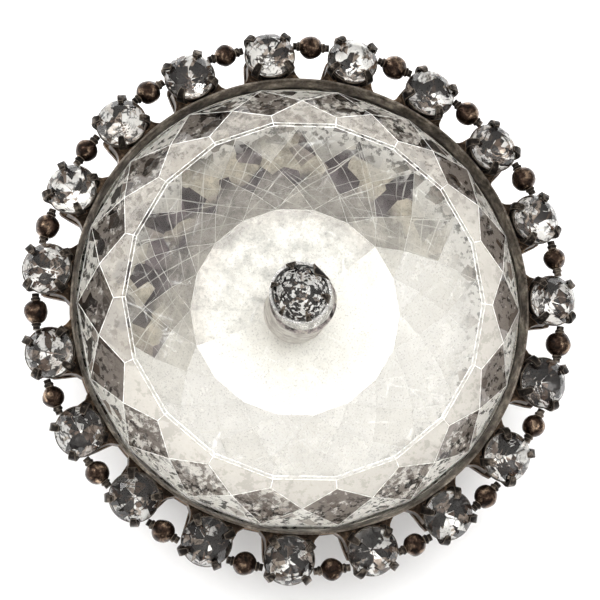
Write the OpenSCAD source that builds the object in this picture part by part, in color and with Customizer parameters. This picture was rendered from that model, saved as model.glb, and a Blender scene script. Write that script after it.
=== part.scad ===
// Sew-on dress button: a large drilled and faceted glass stone in a metal pan, a small
// rhinestone riveted through its centre, and a border of claw-set rhinestones with a metal
// ball in each gap. A sewing eye stands on the back.
//
// Millimetres. The origin is the centre of the sewing eye. +Z points out of the button's
// face, and the eye's hole runs along X.

/* [Sewing eye] */
// Radius of the hole that the thread goes through
eye_hole_r = 1.3; // [0.9:0.05:1.5]
// Thickness of the eye's metal, measured outward from its hole
eye_wall = 0.75; // [0.5:0.05:0.9]
// Width of the eye along its hole
eye_width = 1.2; // [0.8:0.1:1.6]
// Width of the eye's soldered foot
eye_foot_w = 4.8; // [4:0.1:5]
// Radius of the domed plate that carries the eye
shank_base_r = 3.6; // [3.3:0.1:4.5]
// Height of the domed plate
shank_base_h = 1.2; // [1:0.1:1.6]

/* [Large stone] */
// Number of facets round the large stone
facet_count = 18; // [14:1:22]
// Radius of the flat top, out to its corners
table_r = 11.2; // [10.8:0.1:11.4]
// Radius where the claw-shaped facets between the main facets begin
valley_r = 11.8; // [11.6:0.05:12]
// Radius of the points of the main facets
star_r = 12.8; // [12.6:0.05:13]
// Radius of the stone at its widest
girdle_r = 13.9; // [13.7:0.05:14]
// Slope of the main facets below the flat top, in degrees
crown_angle = 35; // [28:1:40]
// Height of the upright band round the stone
girdle_h = 0.6; // [0.4:0.1:0.8]
// Depth of the stone's back below that band
pavilion_h = 4; // [3.2:0.1:4.6]
// Radius of the flat on the stone's back, out to its corners
culet_r = 6.6; // [6.2:0.1:6.8]
// Radius of the first row of points in the net of facets on the back
net_1_r = 7.9; // [7.7:0.05:8.1]
// Radius of the second row of points
net_2_r = 9.5; // [9.4:0.05:9.6]
// Radius of the third row of points
net_3_r = 11.4; // [11.3:0.05:11.5]
// Radius of the hole drilled through the stone
drill_r = 2; // [1.9:0.05:2.1]

/* [Pan] */
// Thickness of the pan's metal
pan_t = 0.24; // [0.2:0.02:0.28]
// Thickness of the pan's floor
floor_t = 0.4; // [0.3:0.05:0.6]
// Thickness of the foil behind the large stone
foil_t = 0.1; // [0.08:0.01:0.14]
// Height of the pan's flared rim above the stone's upright band
rim_h = 0.8; // [0.6:0.05:1]
// How far the rim flares outward
rim_flare = 0.16; // [0:0.02:0.2]

/* [Centre] */
// Radius of the rivet's shaft
rivet_r = 1.85; // [1.7:0.05:1.85]
// Outer radius of the centre cup
cup_r = 2; // [1.95:0.05:2.1]
// Height of the centre cup above the large stone
cup_h = 1.5; // [1.45:0.05:1.8]
// Radius of the cup's foot on the large stone
cup_foot_r = 2.35; // [2.2:0.05:2.6]
// Number of claws on the centre cup
cup_claws = 6; // [4:1:8]
// Radius of the centre rhinestone
center_stone_r = 1.72; // [1.6:0.02:1.74]

/* [Border] */
// Number of rhinestones in the border
stone_count = 19; // [17:1:19]
// Radius of the circle through the border stones
stone_ring_r = 15.92; // [15.9:0.02:16.2]
// Radius of a border stone
stone_r = 1.55; // [1.45:0.05:1.55]
// Outward lean of the border stones, in degrees
border_tilt = 20; // [12:1:22]
// Direction of the first border stone, in degrees from +X towards +Y
first_angle = 97; // [0:1:359]
// Width of a border claw, in degrees round its stone
prong_angle = 18; // [14:1:20]
// Radius of the balls between the cups
bead_r = 0.8; // [0.6:0.05:0.8]
// Radius of the circle through the balls
bead_ring_r = 16.45; // [16.4:0.05:16.6]
// Radius of the necks that join each ball to its cups
bead_neck_r = 0.28; // [0.2:0.01:0.3]

/* [Hidden] */
$fn = 64;

// Clearance between pieces that lie against each other
gap = 0.02;

// Heights, from the eye upward
eye_outer_r = eye_hole_r + eye_wall;
eye_foot_t = 0.45;
eye_foot_top = eye_outer_r + 0.1;
pan_back = eye_foot_top + shank_base_h;
pan_floor = pan_back + floor_t;
foil_floor = pan_floor + gap;
culet_z = foil_floor + foil_t + gap;
girdle_low = culet_z + pavilion_h;
girdle_high = girdle_low + girdle_h;
rim_z = girdle_high + rim_h;

// The main facets slope down from the table's sides. The claw-shaped facets between them
// are flat, so their slope gives the height of the girdle below the table.
half_step = 180 / facet_count;
main_drop_valley = tan(crown_angle) * (valley_r - table_r) * cos(half_step);
main_drop_star = tan(crown_angle) * (star_r - table_r * cos(half_step));
kite_slope = (main_drop_star - main_drop_valley) / (star_r * cos(half_step) - valley_r);
crown_h = main_drop_valley + kite_slope * (girdle_r - valley_r);
table_z = girdle_high + crown_h;

// The pan follows the stone's back, then stands up round its edge
pan_wall_r = girdle_r + 2 * gap;
pan_outer_r = pan_wall_r + pan_t;
rim_outer_r = pan_outer_r + rim_flare;
rim_round = 0.06;

// The back is a net of flat four-cornered facets. Each row of points lies half a step round
// from the last, and each point's height keeps the facet below it flat.
net_r = [culet_r, net_1_r, net_2_r, net_3_r, girdle_r];
net_last = len(net_r) - 1;
function net_rise(k) = k < 2 ? k :
    net_rise(k - 2) + (net_rise(k - 1) - net_rise(k - 2)) * (net_r[k] - net_r[k - 2])
        / (net_r[k - 1] * cos(half_step) - net_r[k - 2]);
function net_z(k) = culet_z + pavilion_h * net_rise(k) / net_rise(net_last);
back_slope = (net_z(net_last) - net_z(net_last - 1)) / (girdle_r - net_3_r);
back_len = sqrt(1 + back_slope * back_slope);
mean_slope = atan(pavilion_h / (girdle_r - culet_r));

// A rhinestone in units of its radius: flat top, crown facets, band and pointed back
chaton_table = 0.56;
chaton_crown_h = 0.36;
chaton_band_h = 0.08;
chaton_back_h = 0.8;
chaton_point = 0.1;
center_back_h = 0.6;
chaton_sides = 8;

// The border cups in their own frames: z = 0 is the stone's widest plane
cup_top_r = stone_r + 0.05;
cup_base_r = 1.18;
cup_base_z = -1.6;
cup_floor_z = -1.36;
seat_r = stone_r + 0.02;
cup_wall = 0.16;
prong_count = 4;
prong_r = stone_r + 0.36;
prong_tip_r = stone_r * 0.72;
prong_tip_z = stone_r * (chaton_band_h + chaton_crown_h) + 0.12;
stone_z = rim_z - 0.3;
step = 360 / stone_count;
bead_z = stone_z - 0.5;

// The frame under the pan's shoulder, and its webs that lie under the cups
web_t = 0.45;
web_end_r = 16.05;
web_w = 2.9;
collar_r = pan_outer_r + 0.2;
collar_inner_r = 13;
collar_h = 0.7;
collar_t = 0.35;

// The centre cup and rivet
claw_angle = 26;
claw_t = 0.24;
claw_foot_slope = 0.2;
stone_gap = 0.04;
cup_foot_t = 0.25;
cup_inner_r = center_stone_r + stone_gap;
center_stone_z = table_z + cup_h - 0.15;
first_claw = 47;
rivet_tail_r = 2.3;
rivet_tail_h = 0.45;
rivet_tail_round = 0.2;

function two_digits(i) = i < 10 ? str("0", i) : str(i);

// Points of a ring of n corners, turned by a part of a step
function ring(n, r, z, turn = 0) =
    [for (i = [0:n - 1]) [r * cos((i + turn) * 360 / n), r * sin((i + turn) * 360 / n), z]];

// The dish round the stone's back, a distance out from it: its points between the flat and
// the stone's edge, and its height at a radius near the edge
function dish(out) = [for (k = [1:net_last - 1])
    [net_r[k] + out * sin(mean_slope), net_z(k) - out * cos(mean_slope)]];
function dish_z(r, out) = girdle_low + (r - girdle_r) * back_slope - out * back_len;
function reversed(list) = [for (i = [len(list) - 1:-1:0]) list[i]];

// Border station i, counted clockwise from the first stone; a fraction gives a gap
module at_border(i, r, z, tilt = 0) {
    rotate([0, 0, first_angle - i * step])
        translate([r, 0, z])
            rotate([0, tilt, 0]) children();
}

// A brilliant-cut rhinestone whose widest plane is z = 0
module chaton(r, back_h = chaton_back_h) {
    n = chaton_sides;
    band = chaton_band_h * r;
    pts = concat(
        ring(n, chaton_table * r, band + chaton_crown_h * r),
        ring(n, r, band, 0.5),
        ring(n, r, 0, 0.5),
        ring(n, chaton_point * r, -back_h * r));
    top = [[for (i = [n - 1:-1:0]) i]];
    crown_main = [for (i = [0:n - 1]) [i, (i + 1) % n, n + i]];
    crown_side = [for (i = [0:n - 1]) [(i + 1) % n, n + (i + 1) % n, n + i]];
    edge = [for (i = [0:n - 1]) [n + i, n + (i + 1) % n, 2 * n + (i + 1) % n, 2 * n + i]];
    back_main = [for (i = [0:n - 1]) [2 * n + i, 3 * n + (i + 1) % n, 3 * n + i]];
    back_side = [for (i = [0:n - 1])
        [2 * n + i, 2 * n + (i + 1) % n, 3 * n + (i + 1) % n]];
    point = [[for (i = [0:n - 1]) 3 * n + i]];
    polyhedron(pts, concat(top, crown_main, crown_side, edge, back_main, back_side, point));
}

// The large stone: flat top, main facets, claw-shaped facets, girdle triangles, upright
// band, a back cut as a net of facets and a flat behind
module glass_stone() {
    n = facet_count;
    pts = concat(
        ring(n, table_r, table_z),
        ring(n, valley_r, table_z - main_drop_valley),
        ring(n, star_r, table_z - main_drop_star, 0.5),
        ring(n, girdle_r, girdle_high),
        [for (k = [net_last:-1:0]) each ring(n, net_r[k], net_z(k), k % 2 / 2)]);
    top = [[for (i = [n - 1:-1:0]) i]];
    main = [for (i = [0:n - 1])
        [i, (i + 1) % n, n + (i + 1) % n, 2 * n + i, n + i]];
    kite = [for (i = [0:n - 1])
        [n + i, 2 * n + i, 3 * n + i, 2 * n + (i + n - 1) % n]];
    girdle = [for (i = [0:n - 1]) [2 * n + i, 3 * n + (i + 1) % n, 3 * n + i]];
    band = [for (i = [0:n - 1])
        [3 * n + i, 3 * n + (i + 1) % n, 4 * n + (i + 1) % n, 4 * n + i]];
    low = 4 * n;
    edge_side = [for (i = [0:n - 1]) [low + i, low + (i + 1) % n, low + n + i]];
    net = [for (row = [0:net_last - 2], i = [0:n - 1])
        let (a = low + row * n, odd = row % 2, after = (i + odd) % n,
             before = (i + odd + n - 1) % n)
            [a + i, a + n + after, a + 2 * n + i, a + n + before]];
    inner = low + (net_last - 1) * n;
    flat_side = [for (i = [0:n - 1]) [inner + i, inner + n + (i + 1) % n, inner + n + i]];
    flat = [[for (i = [0:n - 1]) inner + n + i]];
    color("lightcyan")
        difference() {
            polyhedron(pts,
                concat(top, main, kite, girdle, band, edge_side, net, flat_side, flat));
            translate([0, 0, culet_z - 1])
                cylinder(r = drill_r, h = table_z - culet_z + 2);
        }
}

// Foil pressed into the pan behind the large stone
module foil_liner() {
    hole = drill_r + 0.1;
    color("gainsboro")
        rotate_extrude($fn = 128)
            polygon(concat(
                [[hole, foil_floor], [culet_r + foil_t / 2, foil_floor]],
                dish(gap + foil_t),
                [[girdle_r, dish_z(girdle_r, gap + foil_t)],
                 [girdle_r, dish_z(girdle_r, gap)]],
                reversed(dish(gap)),
                [[culet_r, foil_floor + foil_t], [hole, foil_floor + foil_t]]));
}

// The pan: flat floor with a hole for the rivet, slanted back, upright wall, flared rim
module bezel_pan() {
    inner = gap + foil_t + gap;
    outer = inner + pan_t;
    color("sienna")
        rotate_extrude($fn = 128)
            polygon(concat(
                [[rivet_r + gap, pan_back], [culet_r, pan_back]],
                dish(outer),
                [[pan_outer_r, dish_z(pan_outer_r, outer)],
                 [pan_outer_r, girdle_high],
                 [rim_outer_r, rim_z - rim_round],
                 [rim_outer_r - rim_round, rim_z],
                 [rim_outer_r - 2 * rim_round, rim_z],
                 [pan_wall_r, girdle_high],
                 [pan_wall_r, dish_z(pan_wall_r, inner)]],
                reversed(dish(inner)),
                [[culet_r + foil_t, pan_floor], [rivet_r + gap, pan_floor]]));
}

// Rivet through the large stone and the pan, its tail spread behind the pan's floor
module center_rivet() {
    color("peru")
        rotate_extrude()
            polygon([
                [0, pan_back - rivet_tail_h],
                [rivet_tail_r - rivet_tail_round, pan_back - rivet_tail_h],
                [rivet_tail_r, pan_back - rivet_tail_h + rivet_tail_round],
                [rivet_tail_r, pan_back - gap],
                [rivet_r, pan_back - gap],
                [rivet_r, table_z - gap],
                [0, table_z - gap]]);
}

// One claw of a setting: a piece of a ring whose tip bends in over the stone. Its inner
// side stays clear of the stone by stone_gap.
module claw(angle, foot_r, foot_z, out_r, stone_radius, tip_r, tip_z) {
    band_z = chaton_band_h * stone_radius;
    rotate([0, 0, -angle / 2])
        rotate_extrude(angle = angle)
            polygon([
                [foot_r, foot_z],
                [out_r, foot_z + claw_foot_slope],
                [out_r, band_z + claw_t / 2],
                [tip_r + 0.1, tip_z + 0.1],
                [tip_r, tip_z - 0.08],
                [stone_radius + stone_gap, band_z + 0.05],
                [stone_radius + stone_gap, -0.1],
                [foot_r - claw_t / 2, foot_z]]);
}

// Cup on top of the rivet: foot, wall and a ring of claws
module center_cup() {
    seat = center_stone_z - center_back_h * center_stone_r - gap;
    tip_z = (chaton_band_h + chaton_crown_h) * center_stone_r;
    color("silver") {
        rotate_extrude()
            polygon([
                [0, table_z + gap],
                [cup_foot_r, table_z + gap],
                [cup_foot_r, table_z + cup_foot_t],
                [cup_r, table_z + cup_foot_t + 0.15],
                [cup_r, table_z + cup_h],
                [cup_inner_r, table_z + cup_h],
                [cup_inner_r, center_stone_z - 0.05],
                [chaton_point * center_stone_r + 0.1, seat],
                [0, seat]]);
        for (i = [0:cup_claws - 1])
            translate([0, 0, center_stone_z])
                rotate([0, 0, first_claw + i * 360 / cup_claws])
                    claw(claw_angle, cup_r - 0.02, -0.3, cup_r, center_stone_r,
                         center_stone_r * 0.78, tip_z);
    }
}

module center_rhinestone() {
    color("lightgray")
        translate([0, 0, center_stone_z]) chaton(center_stone_r, center_back_h);
}

// The ring under the pan's shoulder with a web under every cup. It slopes with the cups,
// and the openings between the webs are round in their inner corners.
module border_frame() {
    base_r = stone_ring_r + cup_base_z * sin(border_tilt);
    base_z = stone_z + cup_base_z * cos(border_tilt);
    inner_r = pan_outer_r + gap;
    function top_z(r) = base_z - (r - base_r) * tan(border_tilt) - gap;
    pan_gap = gap + foil_t + gap + pan_t + gap;
    low_z = top_z(inner_r) - collar_h;
    color("saddlebrown")
        difference() {
            rotate_extrude($fn = 128)
                polygon([
                    [inner_r, top_z(inner_r)],
                    [web_end_r, top_z(web_end_r)],
                    [web_end_r, top_z(web_end_r) - web_t],
                    [collar_r, top_z(collar_r) - web_t],
                    [collar_r, low_z],
                    [collar_inner_r, dish_z(collar_inner_r, pan_gap) - collar_t],
                    [collar_inner_r, dish_z(collar_inner_r, pan_gap)],
                    [inner_r, dish_z(inner_r, pan_gap)]]);
            for (i = [0:stone_count - 1])
                at_border(i + 0.5, 0, low_z - 1) frame_opening(collar_h + 3);
        }
}

// Opening between two webs, along +X, open at its outer end
module frame_opening(h) {
    corner_r = 0.4;
    half_in = (collar_r * sin(step / 2) * 2 - web_w) / 2;
    half_out = (web_end_r * sin(step / 2) * 2 - web_w) / 2 + 0.35;
    in_r = collar_r + corner_r;
    far_r = web_end_r + 1;
    linear_extrude(h) {
        for (side = [-1, 1])
            translate([in_r, side * (half_in - corner_r)]) circle(r = corner_r, $fn = 32);
        polygon([
            [in_r, -half_in],
            [far_r, -half_out],
            [far_r, half_out],
            [in_r, half_in]]);
        translate([collar_r, -(half_in - corner_r)])
            square([corner_r, 2 * (half_in - corner_r)]);
    }
}

// Outline of a border cup as a solid, used for the cup and to trim what meets it
module cup_body(top = 0.02, grow = 0) {
    rotate_extrude()
        polygon([
            [0, cup_base_z - grow],
            [cup_base_r + grow, cup_base_z - grow],
            [cup_base_r + 0.22 + grow, cup_base_z + 0.9],
            [cup_top_r + grow, -0.12],
            [cup_top_r + grow, top],
            [0, top]]);
}

// Four-prong cup, z = 0 in its stone's widest plane
module setting() {
    color("dimgray") {
        difference() {
            cup_body();
            rotate_extrude()
                polygon([
                    [0, cup_floor_z],
                    [cup_base_r - cup_wall, cup_floor_z],
                    [seat_r - 0.12, -0.25],
                    [seat_r, -0.06],
                    [seat_r, 0.1],
                    [0, 0.1]]);
        }
        for (i = [0:prong_count - 1])
            rotate([0, 0, 45 + i * 360 / prong_count])
                claw(prong_angle, cup_base_r + 0.24, cup_base_z + 0.75, prong_r, stone_r,
                     prong_tip_r, prong_tip_z - 0.12);
    }
}

module border_stone() {
    color("white") chaton(stone_r);
}

// Metal balls, each with a neck to the cup on either side, trimmed where the cups stand
module bead_links() {
    neck = 2 * bead_ring_r * sin(step / 4);
    color("chocolate")
        for (i = [0:stone_count - 1])
            difference() {
                at_border(i + 0.5, bead_ring_r, bead_z) {
                    sphere(r = bead_r, $fn = 48);
                    rotate([90, 0, 0])
                        cylinder(r = bead_neck_r, h = neck, center = true, $fn = 32);
                }
                for (k = [i, i + 1])
                    at_border(k, stone_ring_r, stone_z, border_tilt)
                        cup_body(top = bead_neck_r + 0.2, grow = gap);
            }
}

// Domed plate behind the pan, hollow over the rivet's tail
module shank_base() {
    hollow_r = rivet_tail_r + 0.15;
    hollow_z = pan_back - rivet_tail_h - 0.1;
    color("sienna")
        rotate_extrude()
            polygon([
                [0, eye_foot_top],
                [eye_foot_w / 2 + 0.1, eye_foot_top],
                [shank_base_r - 0.25, pan_back - 0.45],
                [shank_base_r, pan_back - 0.3],
                [shank_base_r, pan_back - gap],
                [hollow_r, pan_back - gap],
                [hollow_r, hollow_z],
                [0, hollow_z]]);
}

// Sewing eye with its flat foot
module shank_loop() {
    foot_z = eye_foot_top - gap;
    color("peru")
        rotate([90, 0, 90])
            linear_extrude(eye_width, center = true)
                difference() {
                    union() {
                        circle(r = eye_outer_r);
                        translate([-eye_foot_w / 2, foot_z - eye_foot_t])
                            square([eye_foot_w, eye_foot_t]);
                    }
                    circle(r = eye_hole_r);
                }
}

bezel_pan();
foil_liner();
glass_stone();
center_rivet();
center_cup();
center_rhinestone();
border_frame();
bead_links();
shank_base();
shank_loop();
for (i = [1:stone_count]) {
    at_border(i - 1, stone_ring_r, stone_z, border_tilt) setting();
    at_border(i - 1, stone_ring_r, stone_z, border_tilt) border_stone();
}
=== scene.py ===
"""A sew-on dress button: a large drilled glass stone in a metal pan, a claw-set centre
rhinestone, and a border of claw-set rhinestones with a metal ball in each gap.

Shapes are made in millimetres, in the frame of the CAD model, and scaled to metres. The
heights come from the CAD nodes' boxes. The plan sizes repeat the CAD model's, apart from the
centre cup, which leans and has a narrower foot, and the small unevenness of the border.
"""

import math
import random

import bmesh
import bpy
from mathutils import Matrix, Vector, noise


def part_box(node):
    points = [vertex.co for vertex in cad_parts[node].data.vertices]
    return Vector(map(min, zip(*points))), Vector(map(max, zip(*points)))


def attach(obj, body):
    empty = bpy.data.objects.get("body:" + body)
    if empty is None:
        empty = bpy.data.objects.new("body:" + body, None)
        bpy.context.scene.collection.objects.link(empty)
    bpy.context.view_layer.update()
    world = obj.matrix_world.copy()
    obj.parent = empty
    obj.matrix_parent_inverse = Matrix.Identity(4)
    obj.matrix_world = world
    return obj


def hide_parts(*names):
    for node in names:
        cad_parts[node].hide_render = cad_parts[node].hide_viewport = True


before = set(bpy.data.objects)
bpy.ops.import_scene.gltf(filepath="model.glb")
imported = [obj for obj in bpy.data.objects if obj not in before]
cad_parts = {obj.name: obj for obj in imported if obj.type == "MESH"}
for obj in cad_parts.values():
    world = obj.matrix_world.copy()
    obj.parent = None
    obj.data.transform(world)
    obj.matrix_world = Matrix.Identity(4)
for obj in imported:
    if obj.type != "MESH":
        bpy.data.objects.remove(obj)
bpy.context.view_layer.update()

MM = 0.001
BODY = "root"
SEED = 19


def box_mm(node):
    """Lowest and highest corner of a CAD node, in millimetres."""
    low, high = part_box(node)
    return Vector(low) / MM, Vector(high) / MM


# Heights and radii read from the CAD nodes
PAN_LOW, PAN_HIGH = box_mm("bezel_pan")
GLASS_LOW, GLASS_HIGH = box_mm("glass_stone")
EYE_LOW, EYE_HIGH = box_mm("shank_loop")
BASE_LOW, BASE_HIGH = box_mm("shank_base")
TABLE_Z = GLASS_HIGH.z
CULET_Z = GLASS_LOW.z
PAN_BACK = PAN_LOW.z
RIM_Z = PAN_HIGH.z
RIM_R = PAN_HIGH.x
FLOOR_Z = EYE_LOW.z

# Large stone
FACETS = 18
TABLE_R = 11.2
VALLEY_R = 11.8
STAR_R = 12.8
GIRDLE_R = 13.9
CROWN_ANGLE = 35.0
GIRDLE_H = 0.6
NET_R = [6.6, 7.9, 9.5, 11.4, GIRDLE_R]
DRILL_R = 2.0
# Painted shade levels of the rows of back facets, and the side the painted light comes from
NET_SHADES = [0.68, 0.25, 0.45]
LIGHT_SIDE = math.radians(-65)
GLASS_SLOT, MAIN_SLOT, FOIL_SLOT, WALL_SLOT, EDGE_SLOT, KITE_SLOT = range(6)

# Pan
PAN_T = 0.24
PAN_FLOOR_T = 0.4
RIM_H = 0.8
RIVET_HOLE_R = 1.9

# Border
STONES = 19
STEP = math.tau / STONES
FIRST_ANGLE = math.radians(97)
STONE_RING_R = 15.92
STONE_R = 1.55
STONE_Z = RIM_Z - 0.3
STONE_BACK = 0.78
TILT = math.radians(20)
BEAD_RING_R = 16.45
BEAD_R = 0.8
BEAD_Z = STONE_Z - 0.5
CUP_BASE_Z = -1.6
CLAW_TURN = math.radians(45)

# Centre
CENTER_STONE_R = 1.72
CENTER_STONE_Z = TABLE_Z + 1.35
CENTER_STONE_BACK = 0.6
CENTER_TURN = 0.3
CUP_H = 1.5
CUP_R = 2.0
CUP_FOOT_R = 2.08
CUP_CLAWS = 6
FIRST_CLAW = math.radians(47)
CENTER_OFF = (-0.42, 0.2)
FOOT_OFF = (-0.1, -0.05)


# ---------------------------------------------------------------- mesh helpers


def make(name, verts, faces, materials, indices=None, smooth=True, place=None):
    """A mesh object from millimetre points. place is a 4x4 matrix in millimetres."""
    mesh = bpy.data.meshes.new(name)
    points = [Vector(v) for v in verts]
    if place is not None:
        points = [place @ p for p in points]
    mesh.from_pydata([p * MM for p in points], [], faces)
    for material in materials:
        mesh.materials.append(material)
    if indices is not None:
        mesh.polygons.foreach_set("material_index", indices)
    mesh.polygons.foreach_set("use_smooth", [smooth] * len(mesh.polygons))
    mesh.validate()
    obj = bpy.data.objects.new(name, mesh)
    bpy.context.scene.collection.objects.link(obj)
    return obj


def fix_normals(obj):
    """Turns every face of a closed mesh outward."""
    bm = bmesh.new()
    bm.from_mesh(obj.data)
    bmesh.ops.recalc_face_normals(bm, faces=bm.faces)
    bm.to_mesh(obj.data)
    bm.free()


def ring(count, radius, z, turn=0.0):
    """Corners of a flat ring, turned by a share of a step."""
    step = math.tau / count
    return [
        (radius * math.cos((i + turn) * step), radius * math.sin((i + turn) * step), z)
        for i in range(count)
    ]


def lathe(profile, segments):
    """Points and faces of a closed profile of (radius, z) pairs turned about Z."""
    verts, faces = [], []
    count = len(profile)
    for radius, z in profile:
        verts += ring(segments, radius, z)
    for k in range(count):
        a, b = k * segments, ((k + 1) % count) * segments
        for i in range(segments):
            j = (i + 1) % segments
            faces.append((a + i, a + j, b + j, b + i))
    return verts, faces


def join_parts(parts):
    """One list of points and faces out of several, each with its own matrix."""
    verts, faces = [], []
    for part_verts, part_faces, place in parts:
        start = len(verts)
        verts += [place @ Vector(v) for v in part_verts]
        faces += [tuple(start + i for i in face) for face in part_faces]
    return verts, faces


def rounded(profile, radius, steps=4):
    """A closed profile with each corner rounded by an arc-like curve."""
    out = []
    count = len(profile)
    for k in range(count):
        p = Vector(profile[k])
        before = Vector(profile[k - 1]) - p
        after = Vector(profile[(k + 1) % count]) - p
        reach = min(radius, before.length * 0.45, after.length * 0.45)
        a = p + before.normalized() * reach
        b = p + after.normalized() * reach
        for s in range(steps + 1):
            t = s / steps
            out.append(tuple(a.lerp(p, t).lerp(p.lerp(b, t), t)))
    return out


def smooth_by_angle(obj, degrees=35):
    """Shades smooth except across sharp edges."""
    obj.data.set_sharp_from_angle(angle=math.radians(degrees))


def bevel(obj, width, segments=1, angle=10):
    """Rounds the sharp edges of a piece."""
    mod = obj.modifiers.new("bevel", "BEVEL")
    mod.width = width * MM
    mod.segments = segments
    mod.limit_method = "ANGLE"
    mod.angle_limit = math.radians(angle)
    mod.harden_normals = False


def station(i, radius, z, tilt=0.0):
    """Place of border station i, clockwise from the first; a fraction is in a gap."""
    turn = Matrix.Rotation(FIRST_ANGLE - i * STEP, 4, "Z")
    return turn @ Matrix.Translation((radius, 0, z)) @ Matrix.Rotation(tilt, 4, "Y")


# ---------------------------------------------------------------- materials


class Graph:
    """Short calls for building a material's nodes."""

    def __init__(self, name):
        self.material = bpy.data.materials.new(name)
        self.material.use_nodes = True
        self.tree = self.material.node_tree
        self.shader = self.tree.nodes["Principled BSDF"]
        self.coords = self.node("ShaderNodeTexCoord").outputs["Object"]

    def node(self, kind, **settings):
        made = self.tree.nodes.new(kind)
        for key, value in settings.items():
            setattr(made, key, value)
        return made

    def link(self, source, target):
        self.tree.links.new(source, target)

    def noise(self, scale_mm, detail=4.0, rough=0.55, distort=0.0):
        """Noise whose features are about scale_mm across."""
        n = self.node("ShaderNodeTexNoise")
        self.link(self.coords, n.inputs["Vector"])
        n.inputs["Scale"].default_value = 1 / (scale_mm * MM)
        n.inputs["Detail"].default_value = detail
        n.inputs["Roughness"].default_value = rough
        n.inputs["Distortion"].default_value = distort
        return n.outputs["Fac"]

    def voronoi(self, scale_mm, feature="F1", output="Color", vector=None):
        """Voronoi cells about scale_mm across; gives the named output."""
        v = self.node("ShaderNodeTexVoronoi", feature=feature)
        self.link(vector or self.coords, v.inputs["Vector"])
        v.inputs["Scale"].default_value = 1 / (scale_mm * MM)
        return v.outputs[output]

    def stretched(self, along, turn):
        """Object coordinates turned about Z and squeezed, for long thin marks."""
        m = self.node("ShaderNodeMapping", vector_type="TEXTURE")
        self.link(self.coords, m.inputs["Vector"])
        m.inputs["Rotation"].default_value = (0, 0, turn)
        m.inputs["Scale"].default_value = (along, 1, 1)
        return m.outputs["Vector"]

    def attribute(self, name):
        return self.node("ShaderNodeAttribute", attribute_name=name).outputs["Fac"]

    def radius_mm(self):
        """Distance from the button's axis."""
        flat = self.node("ShaderNodeVectorMath", operation="MULTIPLY")
        self.link(self.coords, flat.inputs[0])
        flat.inputs[1].default_value = (1 / MM, 1 / MM, 0)
        length = self.node("ShaderNodeVectorMath", operation="LENGTH")
        self.link(flat.outputs[0], length.inputs[0])
        return length.outputs["Value"]

    def chords(self, count, touch_mm, width_mm, waver=0.0):
        """1 on thin straight lines that all touch one circle, as in string art."""
        split = self.node("ShaderNodeSeparateXYZ")
        self.link(self.coords, split.inputs[0])
        angle = self.math("ARCTAN2", split.outputs["Y"], split.outputs["X"])
        angle = self.math("ADD", angle, self.math("MULTIPLY", self.noise(4.0, 2), waver))
        radius = self.radius_mm()
        reach = self.math("ARCCOSINE", self.math("MINIMUM", 1.0,
                                                 self.math("DIVIDE", touch_mm, radius)))
        wide = self.math("DIVIDE", width_mm / 2 * count / math.tau, radius)
        mask = None
        for kind in ("ADD", "SUBTRACT"):
            turns = self.math("MULTIPLY", self.math(kind, angle, reach), count / math.tau)
            off = self.math("PINGPONG", turns, 0.5)
            line = self.math("LESS_THAN", off, wide)
            mask = line if mask is None else self.math("MAXIMUM", mask, line)
        outside = self.math("GREATER_THAN", radius, touch_mm)
        return self.math("MULTIPLY", mask, outside)

    def ramp(self, source, stops):
        """Colour ramp; stops are (position, colour or grey)."""
        r = self.node("ShaderNodeValToRGB")
        self.link(source, r.inputs["Fac"])
        elements = r.color_ramp.elements
        while len(elements) < len(stops):
            elements.new(0.5)
        for element, (position, colour) in zip(elements, stops):
            element.position = position
            rgb = (colour,) * 3 if isinstance(colour, (int, float)) else colour
            element.color = (*rgb, 1)
        return r.outputs["Color"]

    def mix(self, factor, a, b, kind="MIX"):
        m = self.node("ShaderNodeMix", data_type="RGBA", blend_type=kind)
        for value, socket in ((factor, m.inputs[0]), (a, m.inputs[6]), (b, m.inputs[7])):
            if isinstance(value, bpy.types.NodeSocket):
                self.link(value, socket)
            elif isinstance(value, (int, float)):
                socket.default_value = value
            else:
                socket.default_value = (*value, 1)
        return m.outputs[2]

    def math(self, operation, a, b=0.0):
        m = self.node("ShaderNodeMath", operation=operation)
        for value, socket in ((a, m.inputs[0]), (b, m.inputs[1])):
            if isinstance(value, bpy.types.NodeSocket):
                self.link(value, socket)
            else:
                socket.default_value = value
        return m.outputs[0]

    def bump(self, height, strength, distance_mm):
        b = self.node("ShaderNodeBump")
        self.link(height, b.inputs["Height"])
        b.inputs["Strength"].default_value = strength
        b.inputs["Distance"].default_value = distance_mm * MM
        self.link(b.outputs["Normal"], self.shader.inputs["Normal"])

    def edge_wear(self, radius_mm):
        """1 on worn outer edges, 0 on flats."""
        bevelled = self.node("ShaderNodeBevel", samples=4)
        bevelled.inputs["Radius"].default_value = radius_mm * MM
        geometry = self.node("ShaderNodeNewGeometry")
        dot = self.node("ShaderNodeVectorMath", operation="DOT_PRODUCT")
        self.link(bevelled.outputs["Normal"], dot.inputs[0])
        self.link(geometry.outputs["Normal"], dot.inputs[1])
        return self.math("SUBTRACT", 1.0, dot.outputs["Value"])


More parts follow.
